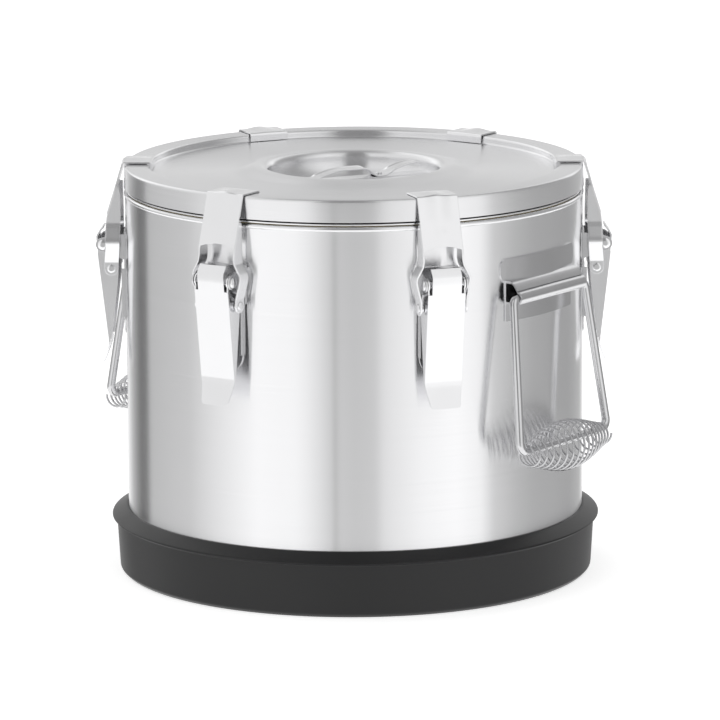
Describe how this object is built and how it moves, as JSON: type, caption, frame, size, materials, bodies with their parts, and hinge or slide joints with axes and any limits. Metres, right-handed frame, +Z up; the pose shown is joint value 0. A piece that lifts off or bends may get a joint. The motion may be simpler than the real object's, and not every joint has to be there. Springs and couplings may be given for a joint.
{
  "type": "insulated soup kettle",
  "caption": "Round double-walled steel food container with insulated latched lid, black foot ring and two folding bail handles.",
  "frame": {"origin": "centre of the underside of the foot ring", "axes": "+Z up along the drum's axis, +X through the right bail handle, -X through the left one"},
  "size_m": [0.4702, 0.4347, 0.3478],
  "materials": {
    "brushed_steel": "fine circumferential brushing",
    "satin_steel": "satin, folded sheet",
    "polished_wire": "bright drawn wire",
    "black_moulding": "satin black moulding",
    "gasket_rubber": "matt",
    "foam": "rigid polyurethane foam, hidden"
  },
  "bodies": {
    "kettle": {"foot_ring": "black_moulding", "bottom_plate": "brushed_steel", "outer_shell": "brushed_steel", "mouth_ring": "brushed_steel", "inner_well": "brushed_steel", "foam_jacket": "foam", "latch_plate_1": "satin_steel", "latch_plate_2": "satin_steel", "latch_plate_3": "satin_steel", "latch_plate_4": "satin_steel", "latch_plate_5": "satin_steel", "latch_plate_6": "satin_steel", "lever_rivet_1": "polished_wire", "lever_rivet_2": "polished_wire", "lever_rivet_3": "polished_wire", "lever_rivet_4": "polished_wire", "lever_rivet_5": "polished_wire", "lever_rivet_6": "polished_wire", "handle_bracket_right": "satin_steel", "handle_bracket_left": "satin_steel"},
    "lid": {"lid_cover": "brushed_steel", "lid_pan": "brushed_steel", "lid_foam": "foam", "lid_gasket": "gasket_rubber", "lid_bridge": "satin_steel", "lid_grip": "satin_steel", "lid_grip_rivets": "polished_wire"},
    "lever_1": {"latch_lever_1": "satin_steel"},
    "hook_1": {"latch_hook_1": "satin_steel", "hook_rivets_1": "polished_wire"},
    "lever_2": {"latch_lever_2": "satin_steel"},
    "hook_2": {"latch_hook_2": "satin_steel", "hook_rivets_2": "polished_wire"},
    "lever_3": {"latch_lever_3": "satin_steel"},
    "hook_3": {"latch_hook_3": "satin_steel", "hook_rivets_3": "polished_wire"},
    "lever_4": {"latch_lever_4": "satin_steel"},
    "hook_4": {"latch_hook_4": "satin_steel", "hook_rivets_4": "polished_wire"},
    "lever_5": {"latch_lever_5": "satin_steel"},
    "hook_5": {"latch_hook_5": "satin_steel", "hook_rivets_5": "polished_wire"},
    "lever_6": {"latch_lever_6": "satin_steel"},
    "hook_6": {"latch_hook_6": "satin_steel", "hook_rivets_6": "polished_wire"},
    "bail_right": {"bail_rod_right": "polished_wire", "bail_grip_right": "polished_wire"},
    "bail_left": {"bail_rod_left": "polished_wire", "bail_grip_left": "polished_wire"}
  },
  "joints": [
    {"name": "lid_turn", "type": "hinge", "parent": "kettle", "child": "lid", "pos_m": [0, 0, 0.335], "axis": [0, 0, 1], "continuous": true},
    {"name": "lever_1_swing", "type": "hinge", "parent": "kettle", "child": "lever_1", "pos_m": [0.01213, -0.21045, 0.2775], "axis": [-0.9983, -0.0576, 0], "range_deg": [0, 109]},
    {"name": "hook_1_release", "type": "hinge", "parent": "kettle", "child": "hook_1", "pos_m": [0.00977, -0.16942, 0.3406], "axis": [-0.9983, -0.0576, 0], "range_deg": [0, 23]},
    {"name": "lever_2_swing", "type": "hinge", "parent": "kettle", "child": "lever_2", "pos_m": [0.17558, -0.11665, 0.2775], "axis": [-0.5534, -0.8329, 0], "range_deg": [0, 109]},
    {"name": "hook_2_release", "type": "hinge", "parent": "kettle", "child": "hook_2", "pos_m": [0.14135, -0.09391, 0.3406], "axis": [-0.5534, -0.8329, 0], "range_deg": [0, 23]},
    {"name": "lever_3_swing", "type": "hinge", "parent": "kettle", "child": "lever_3", "pos_m": [0.16611, 0.12978, 0.2775], "axis": [0.6157, -0.788, 0], "range_deg": [0, 109]},
    {"name": "hook_3_release", "type": "hinge", "parent": "kettle", "child": "hook_3", "pos_m": [0.13373, 0.10448, 0.3406], "axis": [0.6157, -0.788, 0], "range_deg": [0, 23]},
    {"name": "lever_4_swing", "type": "hinge", "parent": "kettle", "child": "lever_4", "pos_m": [-0.00625, 0.21071, 0.2775], "axis": [0.9996, 0.0297, 0], "range_deg": [0, 109]},
    {"name": "hook_4_release", "type": "hinge", "parent": "kettle", "child": "hook_4", "pos_m": [-0.00503, 0.16962, 0.3406], "axis": [0.9996, 0.0297, 0], "range_deg": [0, 23]},
    {"name": "lever_5_swing", "type": "hinge", "parent": "kettle", "child": "lever_5", "pos_m": [-0.18543, 0.10026, 0.2775], "axis": [0.4756, 0.8796, 0], "range_deg": [0, 109]},
    {"name": "hook_5_release", "type": "hinge", "parent": "kettle", "child": "hook_5", "pos_m": [-0.14928, 0.08071, 0.3406], "axis": [0.4756, 0.8796, 0], "range_deg": [0, 23]},
    {"name": "lever_6_swing", "type": "hinge", "parent": "kettle", "child": "lever_6", "pos_m": [-0.17679, -0.11481, 0.2775], "axis": [-0.5446, 0.8387, 0], "range_deg": [0, 109]},
    {"name": "hook_6_release", "type": "hinge", "parent": "kettle", "child": "hook_6", "pos_m": [-0.14232, -0.09242, 0.3406], "axis": [-0.5446, 0.8387, 0], "range_deg": [0, 23]},
    {"name": "bail_right_swing", "type": "hinge", "parent": "kettle", "child": "bail_right", "pos_m": [0.1985, 0, 0.2575], "axis": [0, -1, 0], "range_deg": [0, 165]},
    {"name": "bail_left_swing", "type": "hinge", "parent": "kettle", "child": "bail_left", "pos_m": [-0.1985, 0, 0.2575], "axis": [0, 1, 0], "range_deg": [0, 165]}
  ],
  "couplings": [
    {"joint": "hook_1_release", "follows": "lever_1_swing", "ratio": 0.2049},
    {"joint": "hook_2_release", "follows": "lever_2_swing", "ratio": 0.2049},
    {"joint": "hook_3_release", "follows": "lever_3_swing", "ratio": 0.2049},
    {"joint": "hook_4_release", "follows": "lever_4_swing", "ratio": 0.2049},
    {"joint": "hook_5_release", "follows": "lever_5_swing", "ratio": 0.2049},
    {"joint": "hook_6_release", "follows": "lever_6_swing", "ratio": 0.2049}
  ]
}
